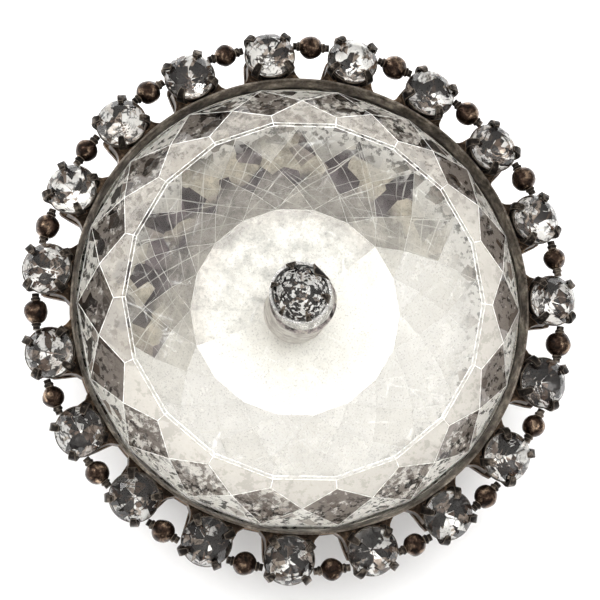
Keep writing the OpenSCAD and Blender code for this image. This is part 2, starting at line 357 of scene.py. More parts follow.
def aged_metal(name, dark, mid, light, roughness=(0.3, 0.6), patch_mm=0.8):
    """Old brass: dark tarnish in patches, brown body colour and rubbed light spots."""
    g = Graph(name)
    patches = g.noise(patch_mm, detail=6, rough=0.65, distort=0.4)
    body = g.ramp(patches, [(0.36, dark), (0.52, mid), (0.68, light)])
    grime = g.ramp(g.noise(patch_mm * 0.22, detail=5, rough=0.7), [(0.42, 0.45), (0.62, 1.0)])
    coloured = g.mix(1.0, body, grime, "MULTIPLY")
    worn = g.ramp(g.edge_wear(0.08), [(0.02, 0.0), (0.16, 1.0)])
    g.link(g.mix(worn, coloured, light), g.shader.inputs["Base Color"])
    rough = g.ramp(patches, [(0.3, roughness[1]), (0.7, roughness[0])])
    g.link(rough, g.shader.inputs["Roughness"])
    g.shader.inputs["Metallic"].default_value = 0.9
    pits = g.noise(patch_mm * 0.12, detail=4, rough=0.7)
    g.bump(pits, 0.35, 0.03)
    return g.material


def cut_glass(name, tint, scratch=0.12):
    """Clear cut glass, faintly hazed."""
    g = Graph(name)
    g.shader.inputs["Base Color"].default_value = (*tint, 1)
    g.shader.inputs["Transmission Weight"].default_value = 1.0
    g.shader.inputs["IOR"].default_value = 1.52
    haze = g.noise(2.5, detail=6, rough=0.7)
    g.link(g.ramp(haze, [(0.35, 0.0), (0.75, 0.03)]), g.shader.inputs["Roughness"])
    g.shader.inputs["Specular IOR Level"].default_value = 0.12
    g.bump(g.noise(0.9, detail=3), scratch, 0.01)
    return g.material


def scratched_glass(name, dark, clear):
    """The large stone's face: glass with fine white scratches and specks in it, and with grime
    that varies between two tints; on the kites the dark tint is painted shade."""
    g = Graph(name)
    # A faint tint on the plain facets; on the kites the dark tint is painted shade
    grime = g.mix(0.3, g.noise(0.6, detail=6, rough=0.7), g.attribute("shade"))
    g.link(g.ramp(grime, [(0.45, dark), (0.51, clear)]), g.shader.inputs["Base Color"])
    g.shader.inputs["IOR"].default_value = 1.52
    marks = None
    for turn, size in ((0.75, 1.6), (1.2, 2.1), (2.3, 1.9), (-0.15, 2.6)):
        lines = g.voronoi(size, "DISTANCE_TO_EDGE", "Distance", g.stretched(8.0, turn))
        thin = g.ramp(lines, [(0.003, 1.0), (0.009, 0.0)])
        marks = thin if marks is None else g.math("MAXIMUM", marks, thin)
    broken = g.ramp(g.noise(1.6, detail=5, rough=0.7), [(0.5, 0.0), (0.7, 0.3)])
    marks = g.math("MULTIPLY", marks, broken)
    specks = g.ramp(g.noise(0.14, detail=2), [(0.72, 0.0), (0.8, 0.3)])
    worn = g.math("MAXIMUM", marks, specks)
    g.link(g.math("SUBTRACT", 1.0, worn), g.shader.inputs["Transmission Weight"])
    g.link(g.ramp(g.noise(2.5, detail=6), [(0.35, 0.0), (0.75, 0.03)]),
           g.shader.inputs["Roughness"])
    g.bump(g.noise(1.2, detail=3), 0.1, 0.01)
    return g.material


def facet_with_painted_light(name):
    """Main facets of the crown: worn half matt and creamy, most of all on the light side; the
    cream is a painted reflection of the light.
    """
    g = Graph(name)
    cloud = g.noise(0.8, detail=6, rough=0.75)
    worn = g.ramp(cloud, [(0.44, (0.12, 0.095, 0.08)), (0.5, (0.45, 0.42, 0.38))])
    # Painted reflection: cream mixed in by the facet's shade, strongest on the lit side, where the
    # facet is also less clear
    g.link(g.mix(g.attribute("shade"), worn, (0.74, 0.72, 0.66)), g.shader.inputs["Base Color"])
    clear = g.math("SUBTRACT", g.ramp(cloud, [(0.35, 0.92), (0.65, 1.02)]), g.attribute("shade"))
    g.link(clear, g.shader.inputs["Transmission Weight"])
    g.shader.inputs["IOR"].default_value = 1.52
    g.shader.inputs["Roughness"].default_value = 0.12
    g.bump(g.noise(0.3, detail=3), 0.1, 0.01)
    return g.material


def frosted_edge_and_glint(name):
    """Edges between the facets, white: partly chipped by wear, partly a painted highlight where
    the edges catch the light.
    """
    g = Graph(name)
    cloud = g.noise(0.3, detail=4)
    g.link(g.ramp(cloud, [(0.38, (0.45, 0.43, 0.4)), (0.56, (0.95, 0.95, 0.92))]),
           g.shader.inputs["Base Color"])
    g.link(g.ramp(cloud, [(0.35, 0.45), (0.65, 0.15)]), g.shader.inputs["Transmission Weight"])
    g.shader.inputs["Roughness"].default_value = 0.4
    g.shader.inputs["IOR"].default_value = 1.52
    return g.material


def stone_backing(name):
    """Silvering of the large stone: cream in the middle with a soft edge, facets painted darker
    towards one side as painted shade, with a ring of dark and cream patches there, and crazed
    near the edge. Each facet has its own painted shade, standing in for what it reflects."""
    g = Graph(name)
    shade = g.attribute("shade")
    # Painted light and shade: each facet's colour comes from its shade, lighter on the lit side,
    # darker on the far side
    facet = g.ramp(shade, [(0.0, (0.1, 0.085, 0.09)), (0.3, (0.22, 0.195, 0.2)),
                           (0.55, (0.5, 0.47, 0.42)), (0.8, (0.85, 0.83, 0.77)),
                           (1.0, (0.99, 0.98, 0.95))])
    # Dark and cream patches in a ring, painted reflections only on the shaded side
    patch = g.ramp(g.voronoi(1.3), [(0.42, (0.07, 0.053, 0.056)), (0.5, (0.22, 0.18, 0.19)),
                                    (0.62, (0.72, 0.66, 0.54))])
    band = g.ramp(g.math("DIVIDE", g.radius_mm(), GIRDLE_R),
                  [(0.6, 0.0), (0.66, 0.85), (0.79, 0.85), (0.83, 0.0)])
    shaded_side = g.ramp(shade, [(0.45, 1.0), (0.85, 0.0)])
    facet = g.mix(g.math("MULTIPLY", band, shaded_side), facet, patch)
    # Painted shade: a darker rim round the cream middle, on the shaded side only
    spread = g.math("ADD", g.radius_mm(), g.math("MULTIPLY", g.noise(0.3, detail=6), 2.4))
    spread = g.math("DIVIDE", spread, GIRDLE_R)
    halo = g.math("MULTIPLY", shaded_side, g.ramp(spread, [(0.53, 0.9), (0.66, 0.0)]))
    facet = g.mix(halo, facet, (0.5, 0.47, 0.43))
    middle = g.ramp(spread, [(0.44, 1.0), (0.56, 0.0)])
    facet = g.mix(middle, facet, (0.86, 0.845, 0.79))
    # Stains, faded out where the painted light is strongest
    stain = g.ramp(g.noise(1.1, detail=6, rough=0.7), [(0.34, 0.45), (0.6, 1.0)])
    cloud = g.mix(g.ramp(shade, [(0.4, 0.0), (0.95, 0.85)]), stain, (1, 1, 1))
    grain = g.ramp(g.noise(0.11, detail=2), [(0.3, 0.65), (0.46, 1.0)])
    toned = g.mix(1.0, g.mix(1.0, facet, cloud, "MULTIPLY"), grain, "MULTIPLY")
    net = g.math("MAXIMUM", g.chords(20, 6.3, 0.09, 0.12), g.chords(27, 7.4, 0.06, 0.2))
    faint = g.ramp(g.noise(2.4, detail=4, rough=0.7), [(0.36, 0.1), (0.6, 0.8)])
    toned = g.mix(g.math("MULTIPLY", net, faint), toned, (0.86, 0.85, 0.8))
    # Crazed foil near the edge, made lighter on the lit side by the painted shade
    uneven = g.mix(0.35, g.ramp(g.voronoi(0.8), [(0.25, 0.0), (0.75, 1.0)]), shade)
    cells = g.ramp(uneven, [(0.22, (0.015, 0.012, 0.012)), (0.32, (0.28, 0.23, 0.2)),
                            (0.4, (0.98, 0.97, 0.94))])
    chips = g.ramp(g.noise(0.5, detail=6, rough=0.65), [(0.42, 0.1), (0.48, 1.0)])
    crazed = g.mix(1.0, cells, chips, "MULTIPLY")
    outer = g.ramp(g.math("DIVIDE", g.radius_mm(), GIRDLE_R),
                   [(0.73, 0.0), (0.79, 0.5), (0.85, 0.95)])
    g.link(g.mix(outer, toned, crazed), g.shader.inputs["Base Color"])
    g.link(g.math("SUBTRACT", 0.16, g.math("MULTIPLY", middle, 0.1)),
           g.shader.inputs["Metallic"])
    g.link(g.ramp(g.noise(2.0, detail=4), [(0.3, 0.32), (0.7, 0.16)]),
           g.shader.inputs["Roughness"])
    g.bump(g.noise(0.5, detail=3), 0.15, 0.02)
    return g.material


def silvered(name, colour, roughness, patch_mm=1.5, stain=(0.7, 0.66, 0.6)):
    """Foil on the back of a stone: bright, a little uneven, with pale brown stains."""
    g = Graph(name)
    cloud = g.noise(patch_mm, detail=5, rough=0.6)
    g.link(g.ramp(cloud, [(0.34, stain), (0.5, colour)]), g.shader.inputs["Base Color"])
    g.link(g.ramp(cloud, [(0.3, roughness * 2.2), (0.7, roughness)]), g.shader.inputs["Roughness"])
    g.shader.inputs["Metallic"].default_value = 1.0
    g.bump(g.noise(patch_mm * 0.3, detail=3), 0.12, 0.02)
    return g.material


def crazed_foil(name, cell_mm, blend, shift=0.0):
    """Old foil behind a rhinestone, from black to bright silver: each facet has its own painted
    shade, standing in for its reflections, mixed with small crazed patches."""
    g = Graph(name)
    cells = g.voronoi(cell_mm)
    # Painted reflections: the facet's shade sets how dark or bright it is
    grey = g.mix(blend, g.attribute("shade"), g.ramp(cells, [(0.3, 0.0), (0.7, 1.0)]))
    toned = g.ramp(grey, [(0.32 + shift, (0.012, 0.008, 0.006)),
                          (0.42 + shift, (0.12, 0.075, 0.05)), (0.48 + shift, (0.45, 0.37, 0.3)),
                          (0.53 + shift, (0.98, 0.97, 0.94))])
    cloud = g.ramp(g.noise(cell_mm * 0.6, detail=5, rough=0.7), [(0.38, 0.2), (0.46, 1.0)])
    toned = g.mix(1.0, toned, cloud, "MULTIPLY")
    cracks = g.ramp(g.voronoi(cell_mm * 1.6, "DISTANCE_TO_EDGE", "Distance"),
                    [(0.03, 1.0), (0.1, 0.0)])
    dark = g.math("MULTIPLY", cracks, g.ramp(g.noise(0.7, detail=3), [(0.46, 0.0), (0.56, 0.9)]))
    g.link(g.mix(dark, toned, (0.01, 0.008, 0.007)), g.shader.inputs["Base Color"])
    g.shader.inputs["Metallic"].default_value = 0.35
    g.shader.inputs["Roughness"].default_value = 0.12
    g.bump(g.noise(cell_mm, detail=3), 0.3, 0.05)
    return g.material


def ground_glass(name):
    """Wall of the drilled hole: matt, brown grey, with turning marks."""
    g = Graph(name)
    cloud = g.noise(0.7, detail=5)
    g.link(g.ramp(cloud, [(0.3, (0.42, 0.37, 0.35)), (0.6, (0.9, 0.87, 0.82))]),
           g.shader.inputs["Base Color"])
    g.shader.inputs["Roughness"].default_value = 0.6
    g.bump(cloud, 0.3, 0.05)
    return g.material


def pale_floor(name):
    """Matt white board with a very faint grain."""
    g = Graph(name)
    grain = g.noise(1.2, detail=3)
    g.link(g.ramp(grain, [(0.3, 0.96), (0.7, 0.99)]), g.shader.inputs["Base Color"])
    g.shader.inputs["Roughness"].default_value = 0.8
    return g.material


PAN_METAL = aged_metal("pan_metal", (0.07, 0.058, 0.047), (0.19, 0.16, 0.13),
                       (0.46, 0.4, 0.33), patch_mm=1.4)
FRAME_METAL = aged_metal("frame_metal", (0.018, 0.012, 0.008), (0.06, 0.04, 0.027),
                         (0.28, 0.19, 0.12))
CUP_METAL = aged_metal("cup_metal", (0.01, 0.008, 0.007), (0.035, 0.028, 0.023),
                       (0.3, 0.25, 0.2), patch_mm=0.6)
BEAD_METAL = aged_metal("bead_metal", (0.012, 0.008, 0.006), (0.065, 0.038, 0.026),
                        (0.5, 0.36, 0.25), roughness=(0.12, 0.4), patch_mm=0.5)
CENTER_METAL = aged_metal("center_metal", (0.6, 0.58, 0.56), (0.95, 0.94, 0.92),
                          (1, 0.99, 0.97), roughness=(0.2, 0.35), patch_mm=0.6)
FOOT_METAL = aged_metal("foot_metal", (0.05, 0.04, 0.04), (0.68, 0.61, 0.59),
                        (0.98, 0.95, 0.84), patch_mm=0.9)
SHANK_METAL = aged_metal("shank_metal", (0.1, 0.07, 0.04), (0.3, 0.22, 0.13),
                         (0.62, 0.5, 0.33), patch_mm=1.0)
RIVET_METAL = aged_metal("rivet_metal", (0.1, 0.08, 0.07), (0.25, 0.2, 0.17),
                         (0.5, 0.42, 0.36))
LARGE_GLASS = scratched_glass("large_glass", (0.94, 0.94, 0.92), (0.97, 0.97, 0.95))
# Dark tint on the kites: painted shade for the darkness seen through them
KITE_GLASS = scratched_glass("kite_glass", (0.1, 0.08, 0.07), (0.85, 0.82, 0.78))
MAIN_FACET = facet_with_painted_light("main_facet")
# Worn edges, white partly as a painted highlight
EDGE_WEAR_AND_GLINT = frosted_edge_and_glint("edge_wear")
SMALL_GLASS = cut_glass("small_glass", (0.95, 0.95, 0.94), scratch=0.05)
LARGE_FOIL = stone_backing("large_foil")
SMALL_FOIL = crazed_foil("small_foil", 0.5, 0.35, shift=0.04)
CENTER_FOIL = crazed_foil("center_foil", 0.19, 0.9, shift=0.15)
LOOSE_FOIL = silvered("loose_foil", (0.85, 0.84, 0.8), 0.15)
HOLE_WALL = ground_glass("hole_wall")
FLOOR = pale_floor("floor_board")


# ---------------------------------------------------------------- stones


def net_heights():
    """Heights of the rows of points on the large stone's back, so its facets are flat."""
    half = math.cos(math.pi / FACETS)
    rise = [0.0, 1.0]
    for k in range(2, len(NET_R)):
        slope = (rise[k - 1] - rise[k - 2]) / (NET_R[k - 1] * half - NET_R[k - 2])
        rise.append(rise[k - 2] + slope * (NET_R[k] - NET_R[k - 2]))
    return rise


def large_stone():
    """The drilled glass stone: table, crown, band, net-cut back with its silvering."""
    n = FACETS
    half = math.pi / n
    drop_valley = math.tan(math.radians(CROWN_ANGLE)) * (VALLEY_R - TABLE_R) * math.cos(half)
    drop_star = math.tan(math.radians(CROWN_ANGLE)) * (STAR_R - TABLE_R * math.cos(half))
    kite = (drop_star - drop_valley) / (STAR_R * math.cos(half) - VALLEY_R)
    girdle_high = TABLE_Z - drop_valley - kite * (GIRDLE_R - VALLEY_R)
    girdle_low = girdle_high - GIRDLE_H
    rise = net_heights()
    scale = (girdle_low - CULET_Z) / rise[-1]

    rings = [
        ring(n, TABLE_R, TABLE_Z),
        ring(n, VALLEY_R, TABLE_Z - drop_valley),
        ring(n, STAR_R, TABLE_Z - drop_star, 0.5),
        ring(n, GIRDLE_R, girdle_high),
    ]
    last = len(NET_R) - 1
    for k in range(last, -1, -1):
        rings.append(ring(n, NET_R[k], CULET_Z + rise[k] * scale, (k % 2) / 2))
    hole_count = 4 * n
    rings.append(ring(hole_count, DRILL_R, TABLE_Z))
    rings.append(ring(hole_count, DRILL_R, CULET_Z))
    starts, verts = [], []
    for points in rings:
        starts.append(len(verts))
        verts += points
    table, valley, star, top_edge, low_edge = starts[:5]
    flat = starts[4 + last]
    hole_top, hole_low = starts[-2:]

    faces, kinds, shades = [], [], []
    rng = random.Random(SEED + 3)

    def add(kind, *corners, shade=1.0):
        faces.append(corners)
        kinds.append(kind)
        shades.append(shade)

    def painted_side_shade(i, turn, level):
        """Painted shade of a facet: light towards the lower right, where the light falls, darker
        at the upper left.
        """
        angle = (i + turn) * math.tau / n - LIGHT_SIDE
        away = math.degrees(math.acos(math.cos(angle)))
        light = min(max((128 - away) / 60, 0), 1)
        light = light * light * (3 - 2 * light)
        return min(max(level + (1 - level) * light + rng.uniform(-0.07, 0.07), 0), 1)

    glass, main, foil, wall, kite = GLASS_SLOT, MAIN_SLOT, FOIL_SLOT, WALL_SLOT, KITE_SLOT
    # Every facet's shade is painted light and shade standing in for its reflections, lighter on
    # the lit side; the kites' shade is random
    for i in range(n):
        j, h = (i + 1) % n, (i - 1) % n
        add(main, table + i, valley + i, star + i, valley + j, table + j,
            shade=0.5 * painted_side_shade(i, 0.5, 0.62))
        add(kite, valley + i, star + h, top_edge + i, star + i, shade=rng.uniform(0.05, 0.5))
        add(glass, star + i, top_edge + i, top_edge + j)
        add(glass, top_edge + i, low_edge + i, low_edge + j, top_edge + j)
        add(foil, low_edge + i, low_edge + n + i, low_edge + j, shade=painted_side_shade(i, 0.5, 0.5))
        for row in range(last - 1):
            a = low_edge + row * n
            sides = (h, i) if row % 2 == 0 else (i, j)
            add(foil, a + i, a + n + sides[0], a + 2 * n + i, a + n + sides[1],
                shade=painted_side_shade(i, (row % 2) / 2, NET_SHADES[row]))
        inner = flat - n
        add(foil, inner + i, flat + i, flat + j, shade=painted_side_shade(i, 0.5, 0.5))
        q = 4 * i
        p = [(q + s) % hole_count for s in range(5)]
        add(glass, table + i, table + j, hole_top + p[4], hole_top + p[3], hole_top + p[2],
            hole_top + p[1], hole_top + p[0])
        add(foil, flat + i, hole_low + p[0], hole_low + p[1], hole_low + p[2],
            hole_low + p[3], hole_low + p[4], flat + j,
            shade=painted_side_shade(i, 0.5, 0.42))
    for i in range(hole_count):
        j = (i + 1) % hole_count
        add(wall, hole_top + i, hole_top + j, hole_low + j, hole_low + i)

    materials = [LARGE_GLASS, MAIN_FACET, LARGE_FOIL, HOLE_WALL, EDGE_WEAR_AND_GLINT, KITE_GLASS]
    stone = make("large_stone", verts, faces, materials, kinds, smooth=False)
    shade = stone.data.attributes.new("shade", "FLOAT", "FACE")
    shade.data.foreach_set("value", shades)
    round_table_edge(stone)
    wear_and_glint_edges(stone, {glass, main, kite}, {foil})
    return stone


def round_table_edge(stone):
    """Cuts a narrow step round the flat top, which shows as a double line."""
    bm = bmesh.new()
    bm.from_mesh(stone.data)
    bmesh.ops.recalc_face_normals(bm, faces=bm.faces)
    top = (TABLE_Z - 0.001) * MM
    edges = [e for e in bm.edges if all(v.co.z > top for v in e.verts)
             and min(v.co.xy.length for v in e.verts) > 0.9 * TABLE_R * MM
             and e.calc_face_angle(0) > 0.1]
    bmesh.ops.bevel(bm, geom=edges, offset=0.11 * MM, segments=1, affect="EDGES",
                    material=GLASS_SLOT)
    bm.to_mesh(stone.data)
    bm.free()


def wear_and_glint_edges(stone, front, back):
    """Bevels the facets' edges and gives the new strips the worn-edge material, which is partly a
    painted highlight.
    """
    bm = bmesh.new()
    bm.from_mesh(stone.data)
    bmesh.ops.recalc_face_normals(bm, faces=bm.faces)
    lip = [e for e in bm.edges if all(v.co.xy.length > 0.99 * GIRDLE_R * MM for v in e.verts)
           and len({f.normal.z > 0.05 for f in e.link_faces}) == 2
           and all(f.material_index in front for f in e.link_faces)]
    bmesh.ops.bevel(bm, geom=lip, offset=0.09 * MM, segments=1, affect="EDGES",
                    material=EDGE_SLOT)
    for kinds, width in ((front, 0.024), (back, 0.03)):
        edges = []
        for edge in bm.edges:
            sides = [f.material_index for f in edge.link_faces]
            if all(side in kinds for side in sides) and edge.calc_face_angle(0) > 0.02:
                edges.append(edge)
        bmesh.ops.bevel(bm, geom=edges, offset=width * MM, segments=1, affect="EDGES",
                        material=EDGE_SLOT, clamp_overlap=True)
    bm.to_mesh(stone.data)
    bm.free()
    stone.data.polygons.foreach_set("use_smooth", [False] * len(stone.data.polygons))


def brilliant(name, radius, back_h, place, foil, table_r=0.58, crown_h=0.36):
    """A round brilliant with a silvered back. Its widest plane is z = 0."""
    n = 8
    star_r, band_h, lower_r = 0.8, 0.06, 0.42
    half = math.cos(math.pi / n)
    star_z = band_h + crown_h * (1 - (star_r * half - table_r) / (1 - table_r))
    lower_z = -back_h + back_h * lower_r * half
    rings = [
        ring(n, table_r, band_h + crown_h),
        ring(n, star_r, star_z, 0.5),
        ring(2 * n, 1, band_h),
        ring(2 * n, 1, 0),
        ring(n, lower_r, lower_z, 0.5),
        ring(n, 0.06, -back_h + 0.06),
    ]
    verts, starts = [], []
    for points in rings:
        starts.append(len(verts))
        verts += [tuple(c * radius for c in p) for p in points]
    table, star, edge, low, lower, tip = starts
    faces = [tuple(table + i for i in range(n)), tuple(tip + i for i in reversed(range(n)))]
    kinds = [0, 1]
    for i in range(n):
        j, h = (i + 1) % n, (i - 1) % n
        a, b, c = 2 * i, 2 * i + 1, (2 * i + 2) % (2 * n)
        crown = [
            (table + i, star + i, table + j),
            (table + i, star + h, edge + a, star + i),
            (star + i, edge + a, edge + b),
            (star + i, edge + b, edge + c),
            (edge + a, low + a, low + b, edge + b),
            (edge + b, low + b, low + c, edge + c),
        ]
        back = [
            (low + a, lower + i, low + b),
            (low + b, lower + i, low + c),
            (low + a, lower + h, tip + i, lower + i),
            (lower + i, tip + i, tip + j),
        ]
        faces += crown + back
        kinds += [0] * len(crown) + [1] * len(back)
    stone = make(name, verts, faces, [SMALL_GLASS, foil], kinds, smooth=False, place=place)
    fix_normals(stone)
    shade_facets(stone, name)
    bevel(stone, 0.02, angle=8)
    return stone


def shade_facets(stone, name):
    """Gives each facet of a rhinestone's foil its own painted shade, standing in for its
    reflections: lighter on the lower side as a painted reflection, and darker in the stones at the
    bottom of the border as painted shade."""
    rng = random.Random(name)
    middle = sum(v.co.y for v in stone.data.vertices) / len(stone.data.vertices)
    south = max(-middle / (STONE_RING_R * MM), 0)
    shades = []
    for face in stone.data.polygons:
        low_side = 0.5 - 0.5 * (face.center.y - middle) / (STONE_R * MM)
        level = rng.uniform(0.1, 0.85) + 0.3 * (low_side - 0.5) - 0.2 * south
        shades.append(min(max(level, 0), 1))
    shade = stone.data.attributes.new("shade", "FLOAT", "FACE")
    shade.data.foreach_set("value", shades)


# ---------------------------------------------------------------- metalwork


def pan():
    """The thin pan: flat floor, dished back, upright wall and flared rim."""
    wall_r = GIRDLE_R + 0.04
    girdle_z = RIM_Z - RIM_H
    t = PAN_T
    rise = net_heights()
    depth = girdle_z - GIRDLE_H - CULET_Z
    heights = [CULET_Z + depth * r / rise[-1] for r in rise]
    lean = math.atan(depth / (GIRDLE_R - NET_R[0]))
    inner_gap, outer_gap = 0.14, 0.14 + t
    inner = [(NET_R[k] + inner_gap * math.sin(lean), heights[k] - inner_gap * math.cos(lean))
             for k in range(1, len(NET_R) - 1)]
    outer = [(NET_R[k] + outer_gap * math.sin(lean), heights[k] - outer_gap * math.cos(lean))
             for k in range(1, len(NET_R) - 1)]
    floor_top = PAN_BACK + PAN_FLOOR_T
    profile = [(RIVET_HOLE_R, PAN_BACK), (NET_R[0], PAN_BACK), *outer,
               (wall_r + t, heights[-1] - 0.35), (wall_r + t, girdle_z),
               (RIM_R, RIM_Z - 0.02), (RIM_R - 0.07, RIM_Z), (RIM_R - 0.14, RIM_Z - 0.02),
               (wall_r, girdle_z), (wall_r, heights[-1] - 0.1), *reversed(inner),
               (NET_R[0], floor_top), (RIVET_HOLE_R, floor_top)]
    verts, faces = lathe(rounded(profile, 0.06, 3), 190)
    piece = make("pan", verts, faces, [PAN_METAL])
    fix_normals(piece)
    smooth_by_angle(piece, 50)
    return piece


def claw_strip(path, widths, thickness):
    """A bent strip along (radius, z) points, with its own width at each."""
    verts, faces = [], []
    count = len(path)
    for k, (radius, z) in enumerate(path):
        a = Vector(path[max(k - 1, 0)])
        b = Vector(path[min(k + 1, count - 1)])
        along = (b - a).normalized()
        side = Vector((along.y, -along.x)) * thickness / 2
        for sign in (1, -1):
            for y in (-widths[k] / 2, widths[k] / 2):
                verts.append((radius + sign * side.x, y, z + sign * side.y))
    for k in range(count - 1):
        a, b = 4 * k, 4 * k + 4
        faces += [(a, a + 1, b + 1, b), (a + 2, b + 2, b + 3, a + 3),
                  (a, b, b + 2, a + 2), (a + 1, a + 3, b + 3, b + 1)]
    end = 4 * (count - 1)
    faces += [(0, 2, 3, 1), (end, end + 1, end + 3, end + 2)]
    return verts, faces


def solder_fillets():
    """Solder in the two corners between a cup and the pan's wall, hollow on the outside."""
    outer = [(14.15, 1.9), (14.36, 1.72), (14.55, 1.57), (14.8, 1.48), (15.15, 1.44),
             (15.45, 1.43)]
    inner = [(14.15, 0.3), (14.36, 0.5), (14.55, 0.8), (14.8, 1.08), (15.15, 1.3),
             (15.45, 1.38)]
    low, high = RIM_Z - 1.67, RIM_Z - 0.54
    count = len(outer)
    verts, faces = [], []
    for side in (-1, 1):
        start = len(verts)
        for z in (low, high):
            verts += [(x, side * y, z) for x, y in outer + inner]
        top = start + 2 * count
        for k in range(count - 1):
            o, n = start + k, start + count + k
            faces += [(o, o + 1, n + 1, n), (top + k, top + k + 1, top + count + k + 1,
                                             top + count + k)]
            faces += [(o, o + 1, top + k + 1, top + k),
                      (n, n + 1, top + count + k + 1, top + count + k)]
        for k in (0, count - 1):
            faces.append((start + k, start + count + k, top + count + k, top + k))
    return verts, faces


def border_setting(i, place, rng):
    """A four-prong cup: a lathe-turned cup and four bent claws."""
    base_r, mid_r, top_r = 1.18, 1.4, STONE_R + 0.05
    profile = [(0.25, CUP_BASE_Z), (base_r, CUP_BASE_Z), (mid_r, -0.7), (top_r, -0.14),
               (top_r, 0.0), (STONE_R + 0.01, 0.0), (STONE_R - 0.1, -0.25),
               (base_r - 0.16, -1.36), (0.25, -1.36)]
    cup = lathe(rounded(profile, 0.04, 2), 40)
    parts = [(*cup, Matrix.Identity(4))]
    for k in range(4):
        reach = rng.uniform(-0.06, 0.05)
        out = rng.uniform(-0.02, 0.04)
        path = [(mid_r - 0.02, -0.95), (1.52 + out, -0.5), (1.72 + out, -0.1), (1.74 + out, 0.18),
                (1.6 + out, 0.42), (1.36 + reach, 0.56), (1.2 + reach, 0.6)]
        widths = [0.66, 0.6, 0.52, 0.5, 0.48, 0.42, 0.3]
        strip = claw_strip(path, widths, 0.2)
        turn = CLAW_TURN + k * math.tau / 4 + rng.uniform(-0.09, 0.09)
        parts.append((*strip, Matrix.Rotation(turn, 4, "Z")))
    level = place.inverted() @ station(i, 0, 0)
    solder = solder_fillets()
    parts.append((*solder, level))
    verts, faces = join_parts(parts)
    kinds = [int(n >= len(faces) - len(solder[1])) for n in range(len(faces))]
    piece = make(f"cup_{i + 1:02d}", verts, faces, [CUP_METAL, FRAME_METAL], kinds, place=place)
    fix_normals(piece)
    bevel(piece, 0.045, segments=2, angle=40)
    smooth_by_angle(piece, 40)
    return piece


def bead_chain():
    """The balls between the cups, each with a neck and a collar on either side."""
    rng = random.Random(SEED + 1)
    parts, kinds = [], []
    neck_half = 2 * BEAD_RING_R * math.sin(STEP / 4) * 0.42
    for i in range(STONES):
        out = rng.uniform(-0.06, 0.06)
        place = station(i + 0.5, BEAD_RING_R + out, BEAD_Z)
        radius = BEAD_R * rng.uniform(0.86, 1.0)
        ball = [(0.001, -radius)]
        for k in range(1, 20):
            a = -math.pi / 2 + k * math.pi / 20
            ball.append((radius * math.cos(a), radius * math.sin(a)))
        ball.append((0.001, radius))
        verts, faces = lathe_open(ball, 32)
        dented = []
        for v in verts:
            p = Vector(v)
            bump = noise.noise(p * 1.6 + Vector((i * 3.1, 0, 0))) * 0.08 - 0.02
            dented.append(p * (1 + bump))
        parts.append((dented, faces, place))
        kinds += [0] * len(faces)
        for side in (-1, 1):
            neck = [(0.001, 0.4), (0.27, 0.4), (0.27, 0.72), (0.31, 0.76), (0.31, 0.82),
                    (0.29, 0.86), (0.23, 0.9), (0.23, neck_half), (0.001, neck_half)]
            verts, faces = lathe_open(neck, 20)
            turn = Matrix.Rotation(-side * math.pi / 2, 4, "X")
            parts.append((verts, faces, place @ turn))
            kinds += [1] * len(faces)
    verts, faces = join_parts(parts)
    piece = make("bead_chain", verts, faces, [BEAD_METAL, CUP_METAL], kinds)
    fix_normals(piece)
    smooth_by_angle(piece, 50)
    return piece


def lathe_open(profile, segments):
    """A profile that starts and ends on the axis, turned about Z and capped to points."""
    verts, faces = [], []
    for radius, z in profile:
        verts += ring(segments, radius, z)
    for k in range(len(profile) - 1):
        a, b = k * segments, (k + 1) * segments
        for i in range(segments):
            j = (i + 1) % segments
            faces.append((a + i, a + j, b + j, b + i))
    end = (len(profile) - 1) * segments
    faces.append(tuple(reversed(range(segments))))
    faces.append(tuple(end + i for i in range(segments)))
    return verts, faces


def frame_ring():
    """The openwork ring: a collar under the pan's shoulder and a web under each cup."""
    columns = STONES * 40
    slope = math.tan(TILT)
    base_r = STONE_RING_R + CUP_BASE_Z * math.sin(TILT)
    base_z = STONE_Z + CUP_BASE_Z * math.cos(TILT)
    inner_r = GIRDLE_R + 0.3
    collar_r = inner_r + 0.06
    web_end = 16.0
    web_mid_r, web_half, web_fade = 15.0, 1.28, 0.55
    foot_r = 13.1
    thickness = 0.45

    def top(r):
        return base_z - (r - base_r) * slope - 0.02

    verts, faces = [], []
    rows = 0
    for c in range(columns):
        angle = c * math.tau / columns
        share = ((angle - FIRST_ANGLE) / STEP) % 1.0
        off = min(share, 1 - share) * STEP * web_mid_r
        blend = min(max((off - web_half) / web_fade, 0.0), 1.0)
        blend = blend * blend * (3 - 2 * blend)
        outer = collar_r + (web_end - collar_r) * (1 - blend)
        section = [(foot_r, top(inner_r) - 0.75), (foot_r, top(inner_r) - 0.5),
                   (inner_r, top(inner_r) - 0.12), (inner_r, top(inner_r))]
        for s in range(1, 5):
            r = inner_r + (outer - 0.06 - inner_r) * s / 4
            section.append((r, top(r)))
        section += [(outer, top(outer) - 0.07), (outer, top(outer) - thickness + 0.07),
                    (outer - 0.06, top(outer) - thickness)]
        collar_low = top(inner_r) - thickness - 0.25
        section += [(min(outer - 0.07, collar_r), top(collar_r) - thickness - 0.01),
                    (collar_r - 0.05, collar_low)]
        rows = len(section)
        for r, z in section:
            verts.append((r * math.cos(angle), r * math.sin(angle), z))
    for c in range(columns):
        d = (c + 1) % columns
        for k in range(rows):
            m = (k + 1) % rows
            faces.append((c * rows + k, d * rows + k, d * rows + m, c * rows + m))
    piece = make("frame_ring", verts, faces, [FRAME_METAL])
    fix_normals(piece)
    smooth_by_angle(piece, 45)
    return piece


